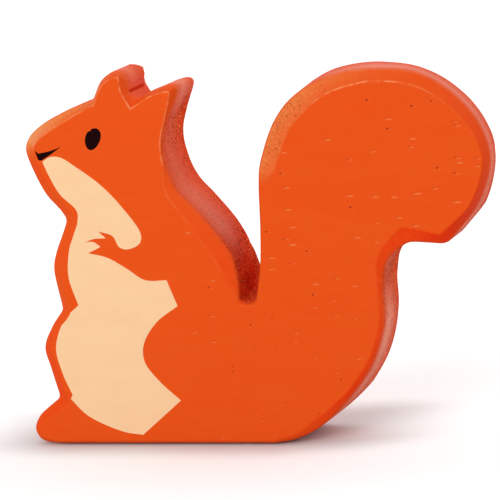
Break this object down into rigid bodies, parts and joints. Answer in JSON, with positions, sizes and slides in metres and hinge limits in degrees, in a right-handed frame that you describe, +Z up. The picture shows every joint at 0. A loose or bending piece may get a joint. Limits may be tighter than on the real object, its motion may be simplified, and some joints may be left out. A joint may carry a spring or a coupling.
{
  "type": "toy squirrel",
  "caption": "Chunky sawn wooden toy squirrel that stands on its flat base, with sanded bevels, pale belly print and printed eye and mouth on both faces.",
  "frame": {"origin": "middle of the bounding box's bottom, in the plane that the flat base stands on", "axes": "+X from the nose towards the tail, +Y from the front face to the back face, +Z up"},
  "size_m": [0.0944, 0.0182, 0.0745],
  "materials": {
    "stained_wood": "orange stain, satin lacquer, open pores",
    "cream_ink": "matt printed ink",
    "black_ink": "satin printed ink"
  },
  "bodies": {
    "root": {"wood_body": "stained_wood", "belly_print_front": "cream_ink", "belly_print_back": "cream_ink", "eye_print_front": "black_ink", "eye_print_back": "black_ink", "mouth_print_front": "black_ink", "mouth_print_back": "black_ink"}
  },
  "joints": []
}
